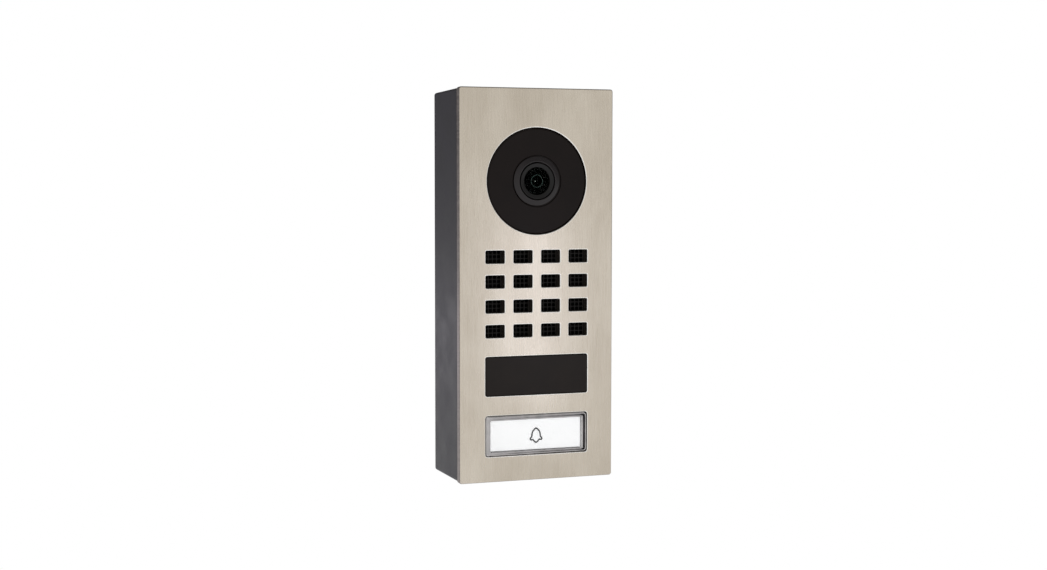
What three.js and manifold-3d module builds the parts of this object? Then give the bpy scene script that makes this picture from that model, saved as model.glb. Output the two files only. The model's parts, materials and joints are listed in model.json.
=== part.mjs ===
// Surface-mounted video door intercom panel with one call button. Millimetres.
// Origin: the centre of the housing's back face, which lies on the wall.
// +Z is up, the front plate faces -Y, and +X is on the right of a visitor facing the panel.
import * as THREE from "three";
import { mergeVertices } from "three/addons/utils/BufferGeometryUtils.js";
import Module from "manifold-3d";

const wasm = await Module();
wasm.setup();

// ---------------------------------------------------------------- driving dimensions

const PANEL = { width: 78.4, height: 187, depth: 38 };
const PLATE = { thickness: 3.6, corner: 0.8 };
const CAMERA = { z: 49.5, hole: 25.35 };
const SLOTS = { count: 4, width: 9.4, height: 5.8, corner: 0.6, pitchX: 14.15, pitchZ: 11.75, topZ: 13.7 };
const WINDOW = { z: -43, width: 52, height: 18.7, corner: 1 };
const BUTTON = { z: -71.2, width: 52.2, height: 19.4, corner: 1.2 };
const BUTTON_FLANGE = { width: 54.4, height: 21.6, corner: 1.4 };
const LABEL = { width: 45.8, height: 14.4 };
const LAMP = { x: 9.5, front: 10.3, back: 12.2 }; // the two lamps behind the label
const HOUSING = { inset: 0.3, wall: 2, back: 2.6, corner: 1.4, depth: 33.5 };
const CABLE = { z: 30, width: 36, height: 24, corner: 3, hole: 5 };
const WALL_SCREW = { x: 26, z: 79, hole: 2.6, slot: 10 };
const SECURITY = { x: 22, y: -25.5, head: 2.9, shank: 1.3 };
const STUD = { x: 31.8, z: 86, radius: 2.4, bore: 1.5, length: 2.5 };
const CHASSIS = { width: 72.6, height: 181, wall: 1.8 };
const TERMINAL = { z: -30, width: 42, height: 11 };
const CAMERA_POST = 15.5; // the camera board's screws, either way from the lens axis
const JACK = { x: 18, z: 3, width: 16, height: 18, mouth: 12 }; // open at its lower end
const SPRING = { x: 18, radius: 2.2, wire: 0.25, turns: 4, length: 4.8 };

const GAP = 0.3; // between pieces that touch or slide on the real panel
const FLANGE = 4.6; // depth at which every flange behind the front plate starts
const FLANGE_END = 5.9;
const WEB = { front: 6.4, back: 8.4 }; // the chassis's cross wall
const CHASSIS_END = 22;
const BOARD = { front: 18.6, thickness: 1.6 };
const COVER = { front: 22.3, back: 27.5, skin: 1.5 };

const speakerZ = SLOTS.topZ - (SLOTS.pitchZ * (SLOTS.count - 1)) / 2;
const sides = [["left", -1], ["right", 1]];
const levels = [["top", 1], ["bottom", -1]];

// ---------------------------------------------------------------- materials

const paint = (color, roughness, metalness = 0, extra = {}) =>
  new THREE.MeshStandardMaterial({ color, roughness, metalness, ...extra });

const brushedSteel = paint(0xc4b8a6, 0.35, 1);
const charcoalCoat = paint(0x3c3b3f, 0.55, 0.2);
const tintedPlastic = paint(0x221d1c, 0.35);
const blackPlastic = paint(0x141414, 0.6);
const darkMetal = paint(0x2e2c2e, 0.4, 0.6);
const lensGlass = paint(0x0a0c10, 0.05, 0, { transparent: true, opacity: 0.5 });
const clearPlastic = paint(0xdfe2e0, 0.1, 0, { transparent: true, opacity: 0.35 });
const whitePlastic = paint(0xf6f5f6, 0.5);
const blackRubber = paint(0x18181a, 0.9);
const greyFoam = paint(0x3a3a3c, 1);
const circuitGreen = paint(0x1d5a36, 0.5);
const chipBlack = paint(0x17181a, 0.5);
const zincPlate = paint(0xb9bcc0, 0.3, 1);
const magnetGrey = paint(0x55575a, 0.4, 0.8);
const terminalGreen = paint(0x2f8f4e, 0.5);
const copper = paint(0xb06a3b, 0.35, 1);

// ---------------------------------------------------------------- outlines

// A rectangle with round corners, as points counter-clockwise from its right side.
function roundedRectangle(width, height, radius, x = 0, y = 0, steps = 2) {
  const points = [];
  for (let corner = 0; corner < 4; corner++) {
    const signX = corner === 0 || corner === 3 ? 1 : -1;
    const signY = corner < 2 ? 1 : -1;
    const centreX = x + signX * (width / 2 - radius);
    const centreY = y + signY * (height / 2 - radius);
    for (let i = 0; i <= steps; i++) {
      const angle = ((corner + i / steps) * Math.PI) / 2;
      points.push(
        new THREE.Vector2(centreX + radius * Math.cos(angle), centreY + radius * Math.sin(angle)),
      );
    }
  }
  return points;
}

function circle(radius, x = 0, y = 0, segments = 24) {
  return Array.from({ length: segments }, (_, i) => {
    const angle = (2 * Math.PI * i) / segments;
    return new THREE.Vector2(x + radius * Math.cos(angle), y + radius * Math.sin(angle));
  });
}

// ---------------------------------------------------------------- solids

// A flat piece parallel to the front plate: outline x is X, outline y is Z, and it spans front to back in Y.
function slab(outline, front, back, holes = []) {
  const shape = new THREE.Shape(outline);
  shape.holes = holes.map((hole) => new THREE.Path(hole));
  const geometry = new THREE.ExtrudeGeometry(shape, { depth: back - front, bevelEnabled: false });
  return geometry.rotateX(Math.PI / 2).translate(0, back, 0);
}

// A piece turned about the Y axis from a closed profile of [radius, y] points.
function turned(profile, segments = 32) {
  const points = profile.map(([radius, y]) => new THREE.Vector2(radius, y));
  if (THREE.ShapeUtils.area(points) < 0) points.reverse();
  points.push(points[0].clone());
  return new THREE.LatheGeometry(points, segments);
}

const rod = (radius, front, back, segments = 20) =>
  turned([[0, front], [radius, front], [radius, back], [0, back]], segments);

// A geometry as a manifold-3d solid.
function solid(geometry) {
  const bare = geometry.index ? geometry.toNonIndexed() : geometry.clone();
  bare.deleteAttribute("normal");
  bare.deleteAttribute("uv");
  const merged = mergeVertices(bare, 1e-4);
  return new wasm.Manifold(
    new wasm.Mesh({
      numProp: 3,
      vertProperties: merged.attributes.position.array,
      triVerts: new Uint32Array(merged.index.array),
    }),
  );
}

function geometryOf(manifold) {
  const mesh = manifold.getMesh();
  const geometry = new THREE.BufferGeometry();
  geometry.setAttribute("position", new THREE.BufferAttribute(mesh.vertProperties, 3));
  geometry.setIndex(new THREE.BufferAttribute(mesh.triVerts, 1));
  geometry.computeVertexNormals();
  return geometry;
}

// The first geometry with others joined to it.
const join = (...pieces) => geometryOf(pieces.map(solid).reduce((all, piece) => all.add(piece)));

// A geometry with the tools cut out of it.
const cut = (geometry, ...tools) =>
  geometryOf(tools.map(solid).reduce((left, tool) => left.subtract(tool), solid(geometry)));

function part(name, geometry, material, x = 0, y = 0, z = 0) {
  const mesh = new THREE.Mesh(geometry, material);
  mesh.name = name;
  mesh.position.set(x, y, z);
  return mesh;
}

function group(z, ...children) {
  const made = new THREE.Group();
  made.position.set(0, 0, z);
  made.add(...children.flat());
  return made;
}

// ---------------------------------------------------------------- front plate and seals

// The middles of the sound slots, row by row from the top left.
function slotCentres() {
  const centres = [];
  for (let row = 0; row < SLOTS.count; row++)
    for (let column = 0; column < SLOTS.count; column++)
      centres.push([
        (column - (SLOTS.count - 1) / 2) * SLOTS.pitchX,
        SLOTS.topZ - row * SLOTS.pitchZ,
      ]);
  return centres;
}

function frontPlate() {
  const holes = slotCentres().map(([x, z]) =>
    roundedRectangle(SLOTS.width, SLOTS.height, SLOTS.corner, x, z, 1));
  holes.push(circle(CAMERA.hole, 0, CAMERA.z, 40));
  holes.push(roundedRectangle(WINDOW.width, WINDOW.height, WINDOW.corner, 0, WINDOW.z));
  holes.push(roundedRectangle(BUTTON.width, BUTTON.height, BUTTON.corner, 0, BUTTON.z));
  const plate = slab(
    roundedRectangle(PANEL.width, PANEL.height, PLATE.corner, 0, 0, 3),
    0,
    PLATE.thickness,
    holes,
  );
  const rear = PLATE.thickness;
  const studs = cornerPlaces(STUD).map(([x, z]) =>
    turned(
      [
        [STUD.bore, rear - 0.5],
        [STUD.radius, rear - 0.5],
        [STUD.radius, rear + STUD.length],
        [STUD.bore, rear + STUD.length],
      ],
      16,
    ).translate(x, 0, z));
  return part("front_plate", join(plate, ...studs), brushedSteel);
}

// The four places at plus and minus x and z.
function cornerPlaces({ x, z }) {
  return sides.flatMap(([, side]) => levels.map(([, level]) => [side * x, level * z]));
}

// A flat ring seal with rectangular outlines.
function frameSeal(name, outer, inner, corner, front, back) {
  const hole = roundedRectangle(...inner, corner);
  return part(name, slab(roundedRectangle(...outer, corner + 1), front, back, [hole]), blackRubber);
}

function housingGasket() {
  const edge = 2 * (HOUSING.inset + 0.6);
  return frameSeal(
    "housing_gasket",
    [PANEL.width - edge, PANEL.height - edge],
    [CHASSIS.width + 0.6, CHASSIS.height + 0.6],
    0.8,
    PLATE.thickness + 0.1,
    PANEL.depth - HOUSING.depth - 0.1,
  );
}

// ---------------------------------------------------------------- camera

function cameraBezel() {
  const front = 0.15;
  const rim = CAMERA.hole - GAP;
  const profile = [
    [11.9, front],
    [rim - 1.1, front],
    [rim, front + 0.5],
    [rim, FLANGE],
    [28, FLANGE],
    [28, FLANGE_END],
    [23.4, FLANGE_END],
    [23.4, 2],
    [13.5, 2],
    [13.5, FLANGE_END],
    [11.9, FLANGE_END],
  ];
  return part("camera_bezel", turned(profile, 40), tintedPlastic);
}

function bezelSeal() {
  const profile = [[25.7, 3.75], [27.6, 3.75], [27.6, 4.45], [25.7, 4.45]];
  return part("bezel_seal", turned(profile, 32), blackRubber);
}

// The raised cone around the lens.
function lensRing() {
  const profile = [
    [8.8, -1.2],
    [9.1, -1.45],
    [9.6, -1.45],
    [12.2, -0.25],
    [12.2, 0],
    [11.6, 0],
    [11.6, 5.6],
    [8.8, 5.6],
  ];
  return part("lens_ring", turned(profile, 32), darkMetal);
}

function lensBarrel() {
  const profile = [
    [6.8, -1.3],
    [8.2, -1.5],
    [8.5, -1.2],
    [8.5, 4],
    [6, 5.2],
    [6, 12.6],
    [4.2, 12.6],
    [4.2, 2.6],
    [6.8, 1.4],
  ];
  return part("lens_barrel", turned(profile, 24), blackPlastic);
}

// A wide-angle front element: a spherical front and a flatter back.
function lensFrontGlass() {
  const edge = 6.5;
  const radius = 14;
  const rimY = -0.2;
  const centreY = rimY + Math.sqrt(radius ** 2 - edge ** 2);
  const steps = 4;
  const profile = [[0, 1], [3.6, 0.7], [edge, 1.1]];
  for (let i = steps; i >= 0; i--) {
    const reach = (edge * i) / steps;
    profile.push([reach, centreY - Math.sqrt(radius ** 2 - reach ** 2)]);
  }
  return part("lens_front_glass", turned(profile, 24), lensGlass);
}

function apertureRing() {
  const profile = [[2.9, 2.9], [3.9, 2.9], [3.9, 3.7], [2.9, 3.7]];
  return part("aperture_ring", turned(profile, 20), darkMetal);
}

function lensRearGlass() {
  const profile = [[0, 3.7], [1.6, 4.1], [2.5, 4.8], [3.9, 4.8], [3.9, 6.4], [0, 6.4]];
  return part("lens_rear_glass", turned(profile, 16), lensGlass);
}

function lensHolder() {
  const block = slab(roundedRectangle(17, 17, 1.5), 6.6, 14.5, [circle(6.3, 0, 0, 28)]);
  return part("lens_holder", block, blackPlastic);
}

function imageSensor() {
  return part("image_sensor", slab(roundedRectangle(8.6, 7.2, 0.3, 0, 0, 1), 13.2, 14.5), chipBlack);
}

function cameraBoard() {
  const board = slab(
    roundedRectangle(36, 36, 2),
    14.8,
    16.2,
    cornerPlaces({ x: CAMERA_POST, z: CAMERA_POST }).map(([x, z]) => circle(1.3, x, z, 12)),
  );
  return part("camera_board", board, circuitGreen);
}

// Infrared lamps in a ring behind the tinted bezel.
function infraredBoard() {
  const lamps = 8;
  const ring = slab(circle(23, 0, 0, 32), FLANGE + 0.2, FLANGE_END, [circle(14.1, 0, 0, 24)]);
  const domes = Array.from({ length: lamps }, (_, i) => {
    const angle = (2 * Math.PI * i) / lamps;
    const dome = turned([[0, 2.5], [1, 2.8], [1.6, 3.6], [1.6, 5], [0, 5]], 8);
    return dome.translate(18.5 * Math.cos(angle), 0, 18.5 * Math.sin(angle));
  });
  return part("infrared_led_board", join(ring, ...domes), circuitGreen);
}

// A flat flex from the camera board down to the main board, drawn from the side.
function cameraRibbon() {
  const width = 8;
  const thickness = 0.3;
  const line = [[16.6, -12], [16.6, -18], [17.6, -24], [18.3, -28], [18.3, -33]];
  const near = line.map(([y, z]) => new THREE.Vector2(z, y));
  const far = line.map(([y, z]) => new THREE.Vector2(z, y - thickness)).reverse();
  const strip = new THREE.ExtrudeGeometry(new THREE.Shape([...near, ...far]), {
    depth: width,
    bevelEnabled: false,
  });
  // The outline's x becomes Z and its y stays Y; the width runs along X.
  strip.rotateY(-Math.PI / 2).translate(width / 2, 0, 0);
  return part("camera_ribbon", strip, copper);
}

function camera() {
  return group(
    CAMERA.z,
    cameraBezel(),
    bezelSeal(),
    lensRing(),
    lensBarrel(),
    lensFrontGlass(),
    apertureRing(),
    lensRearGlass(),
    lensHolder(),
    imageSensor(),
    cameraBoard(),
    infraredBoard(),
    cameraRibbon(),
  );
}

// ---------------------------------------------------------------- speaker and microphone

// A moulded grid that keeps insects and probes out of the sound slots.
function speakerGuard() {
  const pitch = 3;
  const opening = 2.3;
  const sheet = slab(roundedRectangle(58, 45, 2), 3.9, 4.7);
  const holes = slotCentres().flatMap(([x, z]) =>
    [-1, 0, 1].flatMap((column) =>
      [-0.5, 0.5].map((row) =>
        new THREE.BoxGeometry(opening, 4, opening).translate(
          x + column * pitch,
          4.3,
          z - speakerZ + row * pitch,
        ))));
  return part("speaker_guard", cut(sheet, ...holes), blackPlastic);
}

function speaker() {
  const gasket = [[18.8, 5], [21, 5], [21, 6.1], [18.8, 6.1]];
  const basket = [
    [17.6, 8.7],
    [20.5, 8.7],
    [20.5, 10],
    [18.6, 10],
    [11.2, 14.8],
    [8, 14.8],
    [8, 14],
    [10.8, 14],
    [17.6, 9.6],
  ];
  const cone = [[0, 10.8], [4, 11.4], [5, 12.2], [16.8, 8.9], [17.2, 9.1], [5, 12.8], [0, 12.8]];
  return group(
    speakerZ,
    speakerGuard(),
    part("speaker_gasket", turned(gasket, 28), greyFoam),
    part("speaker_frame", turned(basket, 28), darkMetal),
    part("speaker_cone", turned(cone, 24), blackPlastic),
    part("speaker_magnet", rod(11, 15.1, 18.2, 24), magnetGrey),
  );
}

function microphone() {
  const [x, z] = slotCentres().at(-1);
  const boot = [[3.3, 5], [4.6, 5], [4.6, 9.4], [0, 9.4], [0, 8.6], [3.3, 8.6]];
  return [
    part("microphone", rod(3, 5.6, 8.3, 16), zincPlate, x, 0, z),
    part("microphone_boot", turned(boot, 16), blackRubber, x, 0, z),
  ];
}

// ---------------------------------------------------------------- reader and motion window

function sensorWindow() {
  const pane = slab(
    roundedRectangle(WINDOW.width - 2 * GAP, WINDOW.height - 2 * GAP, WINDOW.corner),
    0.1,
    FLANGE + 0.2,
  );
  const flange = slab(roundedRectangle(56, 22.7, 1.5), FLANGE, FLANGE_END);
  const coil = slab(
    roundedRectangle(44, 12, 2),
    7.3,
    8.5,
    [roundedRectangle(38, 7.4, 1.2)],
  );
  return group(
    WINDOW.z,
    part("sensor_window", join(pane, flange), tintedPlastic),
    frameSeal("window_seal", [55.4, 22.1], [52.9, 19.6], 0.6, 3.75, 4.45),
    part("reader_coil", coil, copper),
    part("motion_sensor", slab(roundedRectangle(9, 6.4, 0.4, 0, 0, 1), 6.7, 8.5), chipBlack),
    part("reader_board", slab(roundedRectangle(52, 18, 1), 8.7, 9.9), circuitGreen),
  );
}

// ---------------------------------------------------------------- call button

// The clear cap: a window over the name label, hollow behind, with a flange that keeps it in.
function buttonCap() {
  const face = slab(
    roundedRectangle(BUTTON.width - 2 * GAP, BUTTON.height - 2 * GAP, BUTTON.corner - 0.2),
    -0.4,
    FLANGE + 0.2,
  );
  const { width, height, corner } = BUTTON_FLANGE;
  const flange = slab(roundedRectangle(width, height, corner), FLANGE, 5.6);
  const pocket = slab(
    roundedRectangle(LABEL.width + 2 * GAP, LABEL.height + 2 * GAP, 0.6, 0, 0, 1),
    1.2,
    FLANGE_END,
  );
  return part("button_cap", cut(join(face, flange), pocket), clearPlastic);
}

// The moving plate behind the cap, with light windows and a step that carries the diffuser.
function buttonCarrier() {
  const { width, height, corner } = BUTTON_FLANGE;
  const plate = slab(roundedRectangle(width, height, corner), 5.9, 7.1);
  const step = slab(roundedRectangle(LABEL.width, LABEL.height, 0.5, 0, 0, 1), 4.7, 6);
  const windows = sides.map(([, side]) =>
    slab(roundedRectangle(9, 8, 0.5, side * LAMP.x, 0, 1), 4, 8));
  return part("button_carrier", cut(join(plate, step), ...windows), blackPlastic);
}

class Helix extends THREE.Curve {
  constructor(radius, length, turns) {
    super();
    Object.assign(this, { radius, length, turns });
  }

  getPoint(t) {
    const angle = 2 * Math.PI * this.turns * t;
    return new THREE.Vector3(
      this.radius * Math.cos(angle),
      this.length * t,
      this.radius * Math.sin(angle),
    );
  }
}

function buttonSpring(name, side) {
  const travelLength = SPRING.length - 2 * SPRING.wire;
  const coil = new THREE.ExtrudeGeometry(new THREE.Shape(circle(SPRING.wire, 0, 0, 4)), {
    steps: 10 * SPRING.turns,
    extrudePath: new Helix(SPRING.radius, travelLength, SPRING.turns),
  });
  const front = 7.1 + SPRING.wire + 0.1;
  return part(`button_spring_${name}`, coil, zincPlate, side * SPRING.x, front, 0);
}

// A long-stroke push switch: a square body with a round well for its plunger.
function pushSwitch() {
  const body = slab(roundedRectangle(6.2, 6.2, 0.4, 0, 0, 1), 8.8, 12.2);
  const well = rod(1.8, 8, 11.3, 16);
  return [
    part("switch_body", cut(body, well), chipBlack),
    part("switch_plunger", rod(1.5, 7.3, 9.8, 16), whitePlastic),
  ];
}

function callButton() {
  const guideOutline = roundedRectangle(58, 26, 2);
  const guideHole = roundedRectangle(55.2, 22.4, 1.6);
  const label = roundedRectangle(LABEL.width, LABEL.height, 0.4, 0, 0, 1);
  return group(
    BUTTON.z,
    buttonCap(),
    part("name_label", slab(label, 1.5, 2), whitePlastic),
    part("button_diffuser", slab(label, 2.3, 4.4), whitePlastic),
    buttonCarrier(),
    frameSeal("button_seal", [54.6, 21.8], [52.9, 20.1], 0.8, 3.75, 4.45),
    part("button_guide", slab(guideOutline, 3.9, 6.1, [guideHole]), blackPlastic),
    part("button_board", slab(roundedRectangle(54, 20, 1), 12.4, 14), circuitGreen),
    pushSwitch(),
    sides.map(([name, side]) => buttonSpring(name, side)),
    sides.map(([name, side]) =>
      part(
        `button_led_${name}`,
        slab(roundedRectangle(3.5, 2.8, 0.3, side * LAMP.x, 0, 1), LAMP.front, LAMP.back),
        whitePlastic,
      )),
  );
}

// ---------------------------------------------------------------- electronics module

// The tray behind the front plate. Its cross wall carries the camera, speaker, reader and button.
function chassis() {
  const outer = roundedRectangle(CHASSIS.width, CHASSIS.height, 1.5);
  const inner = roundedRectangle(
    CHASSIS.width - 2 * CHASSIS.wall,
    CHASSIS.height - 2 * CHASSIS.wall,
    1,
  );
  const [microphoneX, microphoneZ] = slotCentres().at(-1);
  const openings = [
    circle(17.5, 0, CAMERA.z, 24),
    circle(18.5, 0, speakerZ, 24),
    circle(5, microphoneX, microphoneZ, 16),
    roundedRectangle(46, 14, 1, 0, WINDOW.z),
    roundedRectangle(56, 23.2, 1.6, 0, BUTTON.z),
    ...cornerPlaces(STUD).map(([x, z]) => circle(1.7, x, z, 12)),
  ];
  const rim = slab(outer, PLATE.thickness + 0.2, CHASSIS_END, [inner]);
  const web = slab(outer, WEB.front, WEB.back, openings);
  const posts = cornerPlaces({ x: CAMERA_POST, z: CAMERA_POST }).map(([x, z]) =>
    rod(2.3, WEB.back - 0.5, 14.5, 8).translate(x, 0, z + CAMERA.z));
  const blocks = cornerPlaces({ x: SECURITY.x, z: CHASSIS.height / 2 - 3.4 }).map(([x, z]) =>
    slab(roundedRectangle(8, 6.8, 0.4, x, z, 1), WEB.back - 0.5, 16.5));
  const bores = cornerPlaces({ x: SECURITY.x, z: CHASSIS.height / 2 }).map(([x, z]) =>
    rod(SECURITY.shank + GAP, -8, 8, 10)
      .rotateX(Math.PI / 2)
      .translate(x, PANEL.depth + SECURITY.y, z));
  return part("module_chassis", cut(join(rim, web, ...posts, ...blocks), ...bores), blackPlastic);
}

const block = (name, [width, height], [x, z], front, back, material) =>
  part(name, slab(roundedRectangle(width, height, 0.4, x, z, 1), front, back), material);

function mainBoard() {
  const behind = BOARD.front + BOARD.thickness + 0.2;
  const tallest = COVER.back - COVER.skin - GAP;
  const terminal = slab(
    roundedRectangle(TERMINAL.width, TERMINAL.height, 0.4, 0, TERMINAL.z, 1),
    behind,
    30,
  );
  const wireWays = Array.from({ length: 8 }, (_, i) => (i - 3.5) * 5);
  const screwWells = wireWays.map((x) => rod(1.7, 28.5, 31, 10).translate(x, 0, TERMINAL.z + 1));
  const { x, z, width, height, mouth } = JACK;
  const jackShell = slab(roundedRectangle(width, height, 0.4, x, z, 1), behind, 33.6);
  const jackMouth = slab(
    roundedRectangle(mouth, height - 3, 0.3, x, z - 3, 1),
    behind + 2.4,
    32,
  );
  return [
    block("main_board", [60, 167], [0, 0], BOARD.front, BOARD.front + BOARD.thickness, circuitGreen),
    part("terminal_block", cut(terminal, ...screwWells), terminalGreen),
    part("network_jack", cut(jackShell, jackMouth), zincPlate),
    block("power_transformer", [18, 14], [-17, 55], behind, tallest, chipBlack),
    block("processor_shield", [26, 26], [12, 38], behind, 23.4, zincPlate),
    block("door_relay", [15, 20], [-18, -56], behind, tallest, chipBlack),
    part("capacitor", rod(4, behind, tallest, 20), magnetGrey, -20, 0, 22),
  ];
}

function rearCover() {
  const outer = roundedRectangle(CHASSIS.width, CHASSIS.height, 1.5);
  const inner = roundedRectangle(
    CHASSIS.width - 2 * CHASSIS.wall,
    CHASSIS.height - 2 * CHASSIS.wall,
    1,
  );
  const shell = cut(
    slab(outer, COVER.front, COVER.back),
    slab(inner, COVER.front - 1, COVER.back - COVER.skin),
    slab(roundedRectangle(TERMINAL.width + 1, TERMINAL.height + 1, 0.8, 0, TERMINAL.z), 20, 34),
    slab(roundedRectangle(JACK.width + 1, 37, 0.8, JACK.x, -5), 20, 34),
    ...cornerPlaces(STUD).map(([x, z]) => rod(1.7, 20, 34, 12).translate(x, 0, z)),
  );
  return part("rear_cover", shell, blackPlastic);
}

// A long screw from the rear cover into the plate's welded stud, with a cross slot in its head.
function moduleScrew(name, x, z) {
  const seat = COVER.back + 0.1;
  const profile = [
    [0, 4.3],
    [1.2, 4.3],
    [1.2, seat],
    [2.7, seat],
    [2.7, seat + 1],
    [1.9, seat + 1.7],
    [0, seat + 1.7],
  ];
  const slot = (width, height) =>
    slab(roundedRectangle(width, height, 0.1, 0, 0, 1), seat + 0.8, seat + 3);
  const screw = cut(turned(profile, 16), join(slot(3, 0.7), slot(0.7, 3)));
  return part(name, screw, zincPlate, x, 0, z);
}

// ---------------------------------------------------------------- wall housing

// A countersunk screw along Z that locks the module into the housing from above or below.
function securityScrew(name, x, level) {
  const head = HOUSING.wall - 0.4;
  const profile = [
    [0, 0],
    [SECURITY.head - GAP, 0],
    [SECURITY.head - GAP, 0.3],
    [SECURITY.shank, head - 0.1],
    [SECURITY.shank, 9],
    [0, 9],
  ];
  const star = new THREE.ExtrudeGeometry(new THREE.Shape(starOutline(1.3, 0.95)), {
    depth: 1.6,
    bevelEnabled: false,
  });
  const recess = star.rotateX(-Math.PI / 2).translate(0, -0.6, 0);
  const post = rod(0.35, -1, 1.6, 6);
  const screw = cut(turned(profile, 16), cut(recess, post));
  // The profile's y runs into the housing, so it turns to point down or up.
  screw.rotateX((-level * Math.PI) / 2);
  const z = level * (PANEL.height / 2 - HOUSING.inset - 0.1);
  return part(name, screw, zincPlate, x, SECURITY.y, z);
}

// A six-lobed drive recess.
function starOutline(outer, inner) {
  return Array.from({ length: 12 }, (_, i) => {
    const angle = (2 * Math.PI * i) / 12;
    const radius = i % 2 ? inner : outer;
    return new THREE.Vector2(radius * Math.cos(angle), radius * Math.sin(angle));
  });
}

function housing() {
  const width = PANEL.width - 2 * HOUSING.inset;
  const height = PANEL.height - 2 * HOUSING.inset;
  const front = -HOUSING.depth;
  const body = slab(roundedRectangle(width, height, HOUSING.corner, 0, 0, 3), front, 0);
  const cavity = slab(
    roundedRectangle(width - 2 * HOUSING.wall, height - 2 * HOUSING.wall, 0.8),
    front - 1,
    -HOUSING.back,
  );
  const cableWay = slab(
    roundedRectangle(CABLE.width, CABLE.height, CABLE.corner, 0, CABLE.z),
    -HOUSING.back - 1,
    1,
  );
  const { x, z, hole, slot } = WALL_SCREW;
  const screwWays = cornerPlaces({ x, z }).map(([holeX, holeZ]) => {
    const [across, up] = holeZ > 0 ? [2 * hole, slot] : [slot, 2 * hole];
    return slab(roundedRectangle(across, up, hole - 0.05, holeX, holeZ, 3), -HOUSING.back - 1, 1);
  });
  const sinks = cornerPlaces({ x: SECURITY.x, z: height / 2 }).map(([holeX, holeZ]) => {
    const level = Math.sign(holeZ);
    const profile = [
      [0, -1],
      [SECURITY.head, -1],
      [SECURITY.head, 0.3],
      [SECURITY.shank + GAP, HOUSING.wall - 0.4],
      [SECURITY.shank + GAP, 4],
      [0, 4],
    ];
    return turned(profile, 16)
      .rotateX((-level * Math.PI) / 2)
      .translate(holeX, SECURITY.y, holeZ);
  });
  const drain = slab(roundedRectangle(14, 8, 0.5, 0, -height / 2, 1), -8, -5.5);
  return part(
    "wall_housing",
    cut(body, cavity, cableWay, ...screwWays, ...sinks, drain),
    charcoalCoat,
  );
}

// A rubber plug in the housing's cable way, with a round hole for the cables.
function cableGrommet() {
  const plug = slab(
    roundedRectangle(CABLE.width - 2 * GAP, CABLE.height - 2 * GAP, CABLE.corner - GAP),
    -HOUSING.back - 0.6,
    -0.4,
  );
  const lip = slab(
    roundedRectangle(CABLE.width + 4, CABLE.height + 4, CABLE.corner + 0.5),
    -4.2,
    -HOUSING.back - GAP,
  );
  const collar = turned(
    [[CABLE.hole, -5], [CABLE.hole + 1.6, -5], [CABLE.hole + 2.2, -4], [CABLE.hole, -4]],
    24,
  );
  const hole = rod(CABLE.hole, -7, 1, 24);
  return part("cable_grommet", cut(join(plug, lip, collar), hole), blackRubber, 0, 0, CABLE.z);
}

// ---------------------------------------------------------------- assembly

const frontUnit = group(
  0,
  frontPlate(),
  camera(),
  speaker(),
  microphone(),
  sensorWindow(),
  callButton(),
  chassis(),
  mainBoard(),
  rearCover(),
  housingGasket(),
  sides.flatMap(([side, signX]) =>
    levels.map(([level, signZ]) =>
      moduleScrew(`module_screw_${level}_${side}`, signX * STUD.x, signZ * STUD.z))),
);
frontUnit.position.y = -PANEL.depth;

const intercom = new THREE.Group();
intercom.add(
  frontUnit,
  housing(),
  cableGrommet(),
  ...sides.flatMap(([side, signX]) =>
    levels.map(([level, signZ]) =>
      securityScrew(`security_screw_${level}_${side}`, signX * SECURITY.x, signZ))),
);

export default intercom;
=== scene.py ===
"""Looks for the door intercom panel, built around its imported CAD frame.

Lengths are in metres, in the CAD's frame: +Z is up and the front plate faces -Y.
"""

import json
import math

import bmesh
import bpy
from mathutils import Matrix, Vector
from mathutils.geometry import tessellate_polygon

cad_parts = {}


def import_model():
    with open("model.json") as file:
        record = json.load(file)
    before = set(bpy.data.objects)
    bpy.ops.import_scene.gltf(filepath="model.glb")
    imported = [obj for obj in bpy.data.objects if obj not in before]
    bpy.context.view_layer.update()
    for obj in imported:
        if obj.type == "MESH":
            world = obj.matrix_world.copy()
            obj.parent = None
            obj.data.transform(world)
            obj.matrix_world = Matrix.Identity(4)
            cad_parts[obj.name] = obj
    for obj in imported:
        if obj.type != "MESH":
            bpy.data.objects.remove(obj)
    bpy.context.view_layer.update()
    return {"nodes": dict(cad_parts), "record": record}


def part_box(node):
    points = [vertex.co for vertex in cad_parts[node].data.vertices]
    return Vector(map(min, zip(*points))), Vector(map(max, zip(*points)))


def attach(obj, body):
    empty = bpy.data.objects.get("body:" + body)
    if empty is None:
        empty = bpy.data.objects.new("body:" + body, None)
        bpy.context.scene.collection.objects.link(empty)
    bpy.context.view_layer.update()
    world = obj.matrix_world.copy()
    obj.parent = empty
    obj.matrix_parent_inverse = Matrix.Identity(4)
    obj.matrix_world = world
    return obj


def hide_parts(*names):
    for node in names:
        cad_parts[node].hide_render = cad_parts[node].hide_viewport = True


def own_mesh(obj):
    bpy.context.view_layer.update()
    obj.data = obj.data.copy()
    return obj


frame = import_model()

MM = 0.001
SIDES = ("left", "right")
CALL = "call_button"
EDGE_STEPS = 5

PLATE_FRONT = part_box("front_plate")[0].y
PLATE_THICKNESS = 3.6 * MM
PLATE_CORNER = 1.2 * MM
STUD_X, STUD_Z = 31.8 * MM, 86 * MM

CAMERA_CENTRE = (0.0, sum(corner.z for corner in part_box("camera_bezel")) / 2)
CAMERA_OPENING = 25.35 * MM
# The lens sits a little left of the middle of its disc.
LENS_CENTRE = (-0.35 * MM, CAMERA_CENTRE[1])

SLOT_COLUMNS = (-21.225 * MM, -7.075 * MM, 7.075 * MM, 21.225 * MM)
SLOT_ROWS = (13.7 * MM, 1.95 * MM, -9.8 * MM, -21.55 * MM)
SLOT_SIZE = (9.6 * MM, 6.1 * MM)
SLOT_CORNER = 0.6 * MM

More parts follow.
